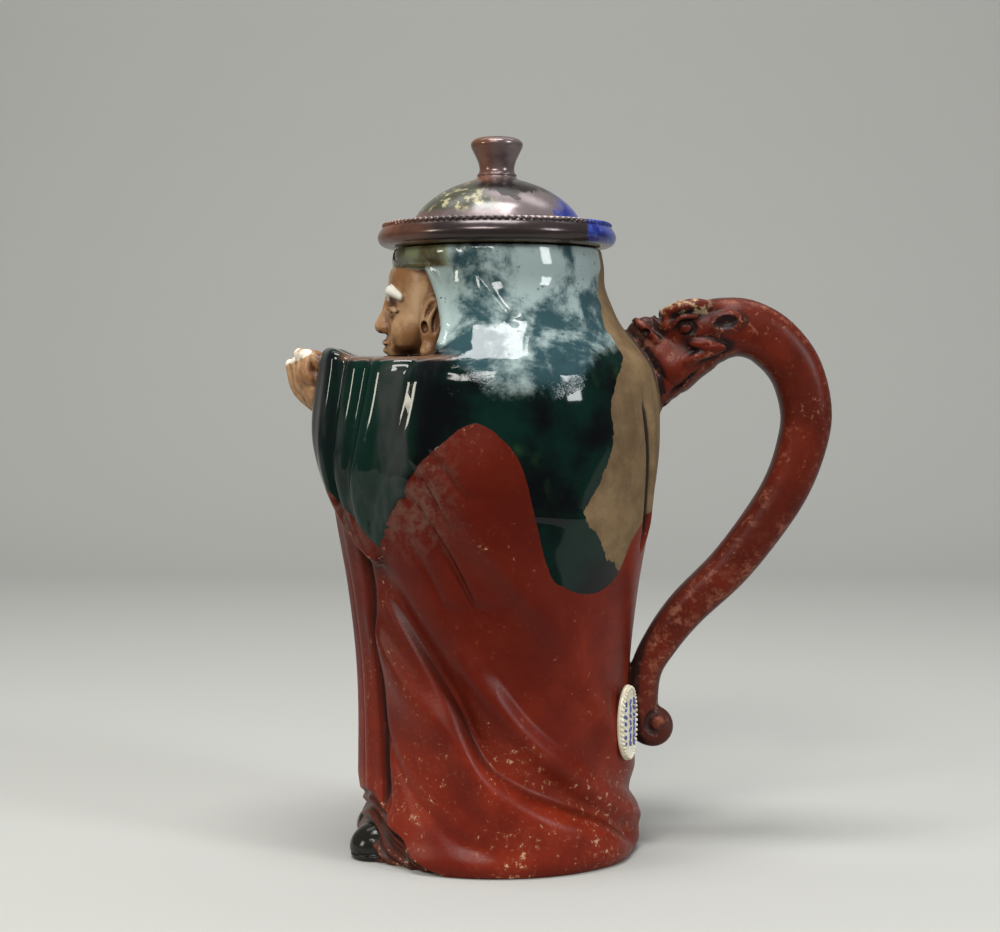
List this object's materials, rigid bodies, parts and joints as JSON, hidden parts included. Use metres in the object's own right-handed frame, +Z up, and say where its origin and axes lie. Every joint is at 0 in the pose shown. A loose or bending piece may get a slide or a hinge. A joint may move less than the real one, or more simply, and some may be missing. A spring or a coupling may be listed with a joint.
{
  "type": "figural lidded jug",
  "caption": "Glazed stoneware jug shaped as a robed figure, its cupped hands the spout, with a dragon handle and a loose domed lid.",
  "frame": {"origin": "middle of the foot's flat underside", "axes": "+Z up along the jug's axis, +X towards the handle, so the figure faces -X"},
  "size_m": [0.1759, 0.1074, 0.23],
  "materials": {
    "jug_body": "stoneware, part green-black glaze, part bare tan clay, the rest satin brick-red cold paint",
    "lid": "gloss brown and black glaze with a metallic lustre",
    "plaque": "gloss cream glaze with blue strokes"
  },
  "bodies": {
    "root": {"jug_body": "jug_body", "lid": "lid", "plaque": "plaque"}
  },
  "joints": []
}
